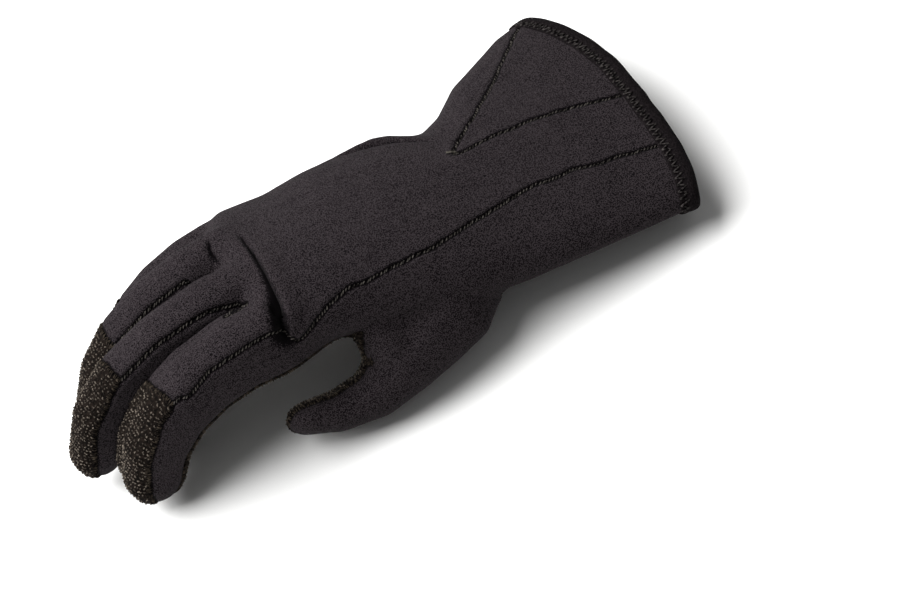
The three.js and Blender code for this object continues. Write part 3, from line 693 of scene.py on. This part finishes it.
def edging_threads():
    """Overlock stitches round the knit's edges, from the sheet's side over the knit's rolled edge."""
    random = np.random.default_rng(EDGING["seed"])
    starts, ends, facing = [], [], []
    for run, low, high in runs:
        if not (is_knit(NAMES[low]) or is_knit(NAMES[high])) or len(run) < EDGING["least"]:
            continue
        line, along = resampled(skin[run], EDGING["pitch"])
        normals = surface_at(line)[1]
        across = np.cross(normals, along)
        knit = [number for number in (low, high) if is_knit(NAMES[number])]
        sample = surface_at(line + EDGING["sample"] * across)[2]
        inward = np.where(np.isin(face_panels[sample], knit), 1.0, -1.0)
        across = across * (1.0 if inward.mean() > 0 else -1.0)
        jitter = random.normal(0, EDGING["astray"], (len(line), 4))
        lean = EDGING["lean"] + jitter[:, 2:3]
        starts.append(line - EDGING["outside"] * across + along * jitter[:, :1])
        ends.append(line + across * (EDGING["inside"] + jitter[:, 1:2]) + along * lean)
        facing.append(normals)
    starts, ends = [surface_at(np.vstack(points))[0] for points in (starts, ends)]
    return threads("knit_edging", starts, ends, np.vstack(facing), EDGING)


def finger_line(finger):
    """Centreline of a finger: places and tangents a knit row apart."""
    place = np.array([0, finger["across"], finger["up"]], float)
    sideways = (finger["tip_across"] - finger["across"]) / finger["length"]
    places, tangents = [], []
    for i in range(FINGER_STEPS):
        share = (i / FINGER_STEPS) ** finger["lag"]
        pitch = math.radians(finger["pitch"] + (finger["tip_pitch"] - finger["pitch"]) * share)
        tangent = unit(np.array([-math.cos(pitch), sideways, -math.sin(pitch)]))
        places.append(place.copy())
        tangents.append(tangent)
        place = place + tangent * finger["length"] / FINGER_STEPS
    every = max(int(round(KNIT["row"] * FINGER_STEPS / finger["length"])), 1)
    return places[::every], tangents[::every]


def ring_round(centre, axis, step):
    """Points where rays from a centre, square to an axis, leave the skin."""
    side = unit(np.cross(axis, (0, 0, 1.0) if abs(axis[2]) < UPRIGHT else (0, 1.0, 0)))
    up = np.cross(side, axis)
    hits = []
    for degrees in np.arange(0, 360 + step / 2, step):
        turn = math.radians(degrees)
        direction = math.cos(turn) * side + math.sin(turn) * up
        place = skin_tree.ray_cast(Vector(centre), Vector(direction), RING_REACH)[0]
        if place is not None:
            hits.append(place)
    return np.array(hits)


def knit_rows():
    """Closed rings of points round the fingers, the thumb and the hand, where rows of the knit run."""
    lines = [finger_line(finger) for finger in FINGERS]
    lines.append(resampled(THUMB, KNIT["row"]))
    rows = []
    for places, tangents in lines:
        rows += [ring_round(place, tangent, FINGER_RING_STEP) for place, tangent in zip(places, tangents)]
    for x in np.arange(PALM_ROWS["from_x"], PALM_ROWS["to_x"], KNIT["row"]):
        centre = np.array([x, PALM_ROWS["y"], PALM_ROWS["z"]])
        rows.append(ring_round(centre, np.array([1.0, 0, 0]), PALM_RING_STEP))
    return [row for row in rows if len(row) > 3]


def kept_apart(points, least):
    """Which points stay when each that lies too near an earlier one goes."""
    tree = tree_of(points)
    single = np.ones(len(points), bool)
    for number, point in enumerate(points.tolist()):
        if single[number]:
            for _, other, _ in tree.find_range(point, least):
                if other > number:
                    single[other] = False
    return single


def knit_places():
    """Ends and normals of small loops in rows over the knit, each row set off by half a loop."""
    knit_panels = np.array([is_knit(name) for name in NAMES])
    margin = EDGING["inside"] * KNIT["margin"]
    starts, ends, facing = [], [], []
    for number, row in enumerate(knit_rows()):
        line, along = resampled(row, KNIT["loop"])
        if number % 2:
            line = line + 0.5 * KNIT["loop"] * along
        places, normals, faces = surface_at(line)
        good = knit_panels[face_panels[faces]] & (border_distance[skin_quads[faces, 0]] > margin)
        starts.append((places - KNIT["half"] * along)[good])
        ends.append((places + KNIT["half"] * along)[good])
        facing.append(normals[good])
    starts, ends, facing = np.vstack(starts), np.vstack(ends), np.vstack(facing)
    single = kept_apart((starts + ends) / 2, KNIT["apart"] * KNIT["loop"])
    return starts[single], ends[single], facing[single]


def knit_loops():
    """Small raised loops over the knit, each turned, sized and moved a little at random."""
    starts, ends, facing = knit_places()
    random = np.random.default_rng(KNIT["seed"])
    along = unit(ends - starts)
    across = np.cross(facing, along)
    turn = random.normal(0, KNIT["turn"], (len(starts), 1))
    half = KNIT["half"] * random.uniform(*KNIT["range"], (len(starts), 1))
    astray = KNIT["astray"] * random.normal(0, 1, (len(starts), 2)) @ np.eye(2, 3)
    middles, facing, _ = surface_at((starts + ends) / 2 + astray)
    reach = half * (np.cos(turn) * along + np.sin(turn) * across)
    counts = KNIT["spans"], KNIT["sides"]
    return threads("knit_loops", middles - reach, middles + reach, facing, KNIT, *counts)


def smooth_ring(points, rounds):
    for _ in range(rounds):
        points = 0.5 * points + 0.25 * (np.roll(points, 1, axis=0) + np.roll(points, -1, axis=0))
    return points


def even_ring(points, count):
    """Points evenly spaced round a closed ring."""
    closed = np.vstack([points, points[:1]])
    along = np.concatenate([[0], np.cumsum(np.linalg.norm(np.diff(closed, axis=0), axis=1))])
    places = np.arange(count) * along[-1] / count
    return np.stack([np.interp(places, along, closed[:, k]) for k in range(3)], axis=1)


def cuff_ring():
    """Ring of stations along the cuff's edge."""
    rim = skin[rim_points]
    y, z = HEM_RING["centre"]
    angles = np.arctan2(rim[:, 2] - z, (rim[:, 1] - y) * HEM_RING["squash"])
    order = np.argsort(angles)
    angles, rim = angles[order], rim[order]
    turns = np.linspace(-math.pi, math.pi, HEM_RING["stations"], endpoint=False)
    wrapped = np.concatenate([angles - 2 * math.pi, angles, angles + 2 * math.pi])
    edge = np.stack([np.interp(turns, wrapped, np.tile(rim[:, k], 3)) for k in range(3)], axis=1)
    return even_ring(smooth_ring(edge, HEM_RING["rounds"]), HEM_RING["stations"])


def hem_directions(edge):
    """Directions at the stations: along the glove, off its edge, and out from its skin."""
    back = surface_at(edge - np.array([HEM_RING["back"], 0, 0]))[0]
    out = unit(edge - smooth_ring(back, HEM_RING["back_rounds"]))
    along = unit(np.roll(edge, -1, axis=0) - np.roll(edge, 1, axis=0))
    up = unit(np.cross(out, along))
    if (up * (edge - edge.mean(axis=0))).sum() < 0:
        up = -up
    return out, up


def folded_hem(edge, out, up):
    """Folded band round the cuff's edge."""
    rings = np.stack([edge + out * a + up * b for a, b in HEM_PROFILE], axis=1)
    stations, count = rings.shape[:2]
    base = np.arange(stations)[:, None] * count
    after = (np.arange(stations)[:, None] + 1) % stations * count
    j = np.arange(count)[None]
    k = (j + 1) % count
    quads = np.stack([base + j, after + j, after + k, base + k], axis=-1).reshape(-1, 4)
    return new_mesh("hem_band", to_row(rings.reshape(-1, 3)), quads)


def zigzag(edge, out, up):
    """Zig-zag stitches round the hem."""
    length = np.linalg.norm(np.diff(np.vstack([edge, edge[:1]]), axis=0), axis=1).sum()
    count = int(length / HEM_STITCH["pitch"]) // 2 * 2
    places = np.arange(count + 1) * len(edge) / count

    def at(values):
        closed = np.vstack([values, values[:1]])
        return np.stack([np.interp(places, np.arange(len(closed)), closed[:, k]) for k in range(3)], axis=1)
    edge, out, up = at(edge), unit(at(out)), unit(at(up))
    ends = np.array([HEM_STITCH["near"], HEM_STITCH["far"]])[np.arange(count + 1) % 2]
    points = edge + out * ends[:, :1] + up * ends[:, 1:]
    return threads("hem_stitches", points[:-1], points[1:], unit(up[:-1] + up[1:]), HEM_STITCH)


def bar_tack():
    """Close threads across the tip of the cuff's gusset."""
    gusset = NAMES.index("cuff_gusset")
    border = np.concatenate([skin[run] for run, low, high in runs if gusset in (low, high)])
    tip = border[border[:, 0].argmin()]
    along = unit(np.array(BAR_TACK["along"]))
    across = unit(np.cross((0, 0, 1.0), along))
    rows = np.arange(BAR_TACK["threads"])[:, None] - (BAR_TACK["threads"] - 1) / 2
    places, facing, _ = surface_at(tip - along + rows * BAR_TACK["step"] * across)
    reach = along * BAR_TACK["half"]
    return threads("bar_tack", places - reach, places + reach, facing, BAR_TACK)


def shader(name):
    """A new material, with its node tree."""
    material = bpy.data.materials.new(name)
    material.use_nodes = True
    return material, material.node_tree


def noise(tree, place, scale, detail=2.0):
    node = tree.nodes.new("ShaderNodeTexNoise")
    node.inputs["Scale"].default_value = scale
    node.inputs["Detail"].default_value = detail
    tree.links.new(place, node.inputs["Vector"])
    return node.outputs["Fac"]


def added(tree, source, share, base):
    """The base with a share of the source added."""
    node = tree.nodes.new("ShaderNodeMath")
    node.operation = "MULTIPLY_ADD"
    tree.links.new(source, node.inputs[0])
    node.inputs[1].default_value = share
    tree.links.new(base, node.inputs[2])
    return node.outputs[0]


def ramp(tree, source, stops):
    """Colours at their stops along the source's values."""
    node = tree.nodes.new("ShaderNodeValToRGB")
    elements = node.color_ramp.elements
    while len(elements) < len(stops):
        elements.new(0.5)
    for element, (place, colour) in zip(elements, stops):
        element.position = place
        element.color = (*colour, 1)
    tree.links.new(source, node.inputs["Fac"])
    return node.outputs["Color"]


def cloth(name, dark_stop, light_stop, grain, bump, roughness, sheen):
    """Cloth or thread: speckled colour with painted shade in seam grooves and folds, a fine uneven
    surface and a faint sheen.
    """
    material, tree = shader(name)
    principled = tree.nodes["Principled BSDF"]
    place = tree.nodes.new("ShaderNodeTexCoord").outputs["Object"]
    speckle = noise(tree, place, grain)
    speckle = added(tree, noise(tree, place, BROAD_GRAIN, FINE_DETAIL), BROAD_SHARE, speckle)
    # Painted shade: the crease attribute darkens the colour in seam grooves and inside folds
    crease = tree.nodes.new("ShaderNodeAttribute")
    crease.attribute_name = "crease"
    speckle = added(tree, crease.outputs["Fac"], PAINTED_SHADE_SHARE, speckle)
    colour = ramp(tree, speckle, [BLACK, dark_stop, light_stop])
    tree.links.new(colour, principled.inputs["Base Color"])
    relief = tree.nodes.new("ShaderNodeBump")
    relief.inputs["Strength"].default_value = bump
    relief.inputs["Distance"].default_value = RELIEF_DEPTH
    tree.links.new(noise(tree, place, grain * RELIEF_GRAIN, FINE_DETAIL), relief.inputs["Height"])
    tree.links.new(relief.outputs["Normal"], principled.inputs["Normal"])
    principled.inputs["Roughness"].default_value = roughness
    principled.inputs["Specular IOR Level"].default_value = SPECULAR
    principled.inputs["Sheen Weight"].default_value = sheen
    principled.inputs["Sheen Roughness"].default_value = SHEEN_ROUGHNESS
    return material


def shown(name, mesh, material, replaced=()):
    """A visible piece of the glove."""
    obj = bpy.data.objects.new(name, mesh)
    bpy.context.scene.collection.objects.link(obj)
    mesh.materials.append(materials[material])
    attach(obj, "root")
    if replaced:
        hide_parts(*replaced)


def add_camera():
    back = unit(CAMERA_BACK)
    right = unit(CAMERA_RIGHT - back * (CAMERA_RIGHT @ back))
    down = np.cross(-back, right)
    eye = back * CAMERA_DISTANCE + right * CAMERA_SHIFT[0] + down * CAMERA_SHIFT[1]
    data = bpy.data.cameras.new("camera")
    data.lens = LENS
    data.sensor_width = SENSOR
    camera = bpy.data.objects.new("camera", data)
    bpy.context.scene.collection.objects.link(camera)
    axes = np.stack([TURN @ right, TURN @ -down, TURN @ back], axis=1)
    camera.matrix_world = Matrix.Translation(Vector(to_row(eye))) @ Matrix(axes.tolist()).to_4x4()
    bpy.context.scene.camera = camera


def add_floor():
    half = FLOOR["half"]
    corners = np.array([(-half, -half, 0), (half, -half, 0), (half, half, 0), (-half, half, 0)], float)
    floor = bpy.data.objects.new("floor", new_mesh("floor", corners, np.array([[0, 1, 2, 3]])))
    bpy.context.scene.collection.objects.link(floor)
    material, tree = shader("floor")
    principled = tree.nodes["Principled BSDF"]
    principled.inputs["Base Color"].default_value = (*FLOOR["colour"], 1)
    principled.inputs["Roughness"].default_value = FLOOR["roughness"]
    floor.data.materials.append(material)


def add_lights():
    """A key light that looks at the middle of the floor, and an even pale world."""
    data = bpy.data.lights.new("key", "AREA")
    data.size = KEY_LIGHT["size"]
    data.energy = KEY_LIGHT["power"]
    light = bpy.data.objects.new("key", data)
    bpy.context.scene.collection.objects.link(light)
    light.location = KEY_LIGHT["place"]
    light.rotation_mode = "QUATERNION"
    light.rotation_quaternion = (-Vector(KEY_LIGHT["place"])).to_track_quat("-Z", "Y")
    world = bpy.data.worlds.new("studio")
    bpy.context.scene.world = world
    world.use_nodes = True
    background = world.node_tree.nodes["Background"]
    background.inputs["Color"].default_value = (1, 1, 1, 1)
    background.inputs["Strength"].default_value = WORLD_STRENGTH
    bpy.context.scene.view_settings.view_transform = "Standard"


# The bare skin, and the points at the cuff's edge, which only follow each other
cad_points, cad_faces, cad_owners = cad_triangles()
skin, skin_quads = outer_skin(*voxel_quads(cad_points, cad_faces))
edges, sides = sorted_edges(skin_quads)
rim_points = np.zeros(len(skin), bool)
rim_points[edges[sides[:, 1] < 0].ravel()] = True
pairs = neighbours(edges, rim_points)

# Panels on it, and the borders between them
facing = blurred(point_normals(skin, skin_quads), pairs, ROUNDS["facing"])[skin_quads].mean(axis=1)
face_panels = panel_of_faces(nearest_owner(skin), skin_quads, pairs)
face_panels = moved_borders(face_panels, skin[skin_quads].mean(axis=1), facing)
point_panels = np.zeros(len(skin), int)
point_panels[skin_quads.ravel()] = np.repeat(face_panels, 4)
runs = border_runs(edges, sides, face_panels)

# The smooth skin
skin = straighten_borders(rounded(skin, pairs, ROUNDS["skin"]), runs, pairs)
skin = softened(skin, pairs)
normals = unit(blurred(point_normals(skin, skin_quads), pairs, ROUNDS["normals"]))
smooth_tree = BVHTree.FromPolygons(skin.tolist(), skin_quads.tolist())

# Seams, gaps and folds in it, and the shade painted into their colour
relief, border_distance = seam_relief(skin, point_panels, runs)
relief = relief + gap_relief(skin, normals, smooth_tree, pairs)
folds = [fold_shift(skin, normals, smooth_tree, fold, axis) for fold, axis in FOLDS]
# Painted shade: darkening along the panel borders and inside the folds, where shade falls
crease = np.maximum.reduce([bell(border_distance, SEAM["shade"]), *(painted_shade for _, painted_shade in folds)])
skin = skin + normals * relief[:, None] + sum(shift for shift, _ in folds)
skin_tree = BVHTree.FromPolygons(skin.tolist(), skin_quads.tolist())

# Sheets
materials = {name: cloth(name, *row) for name, row in CLOTHS.items()}
for number, name in enumerate(NAMES):
    faces = skin_quads[face_panels == number]
    sheet = slab(name + "_sheet", skin, normals, faces, crease)
    slot, material = ("knit", "knit_ground") if is_knit(name) else ("neoprene", "neoprene")
    shown(name + "_sheet", sheet, material, [name])

# Hem, threads and knit
ring = cuff_ring()
out, up = hem_directions(ring)
shown("hem_band", folded_hem(ring, out, up), "hem_cloth", [HEM])
shown("hem_stitches", zigzag(ring, out, up), "hem_thread")
shown("seam_stitches", seam_threads(), "seam_thread")
shown("bar_tack", bar_tack(), "bar_thread")
shown("knit_edging", edging_threads(), "edge_yarn")
shown("knit_loops", knit_loops(), "knit_yarn")

add_camera()
add_floor()
add_lights()
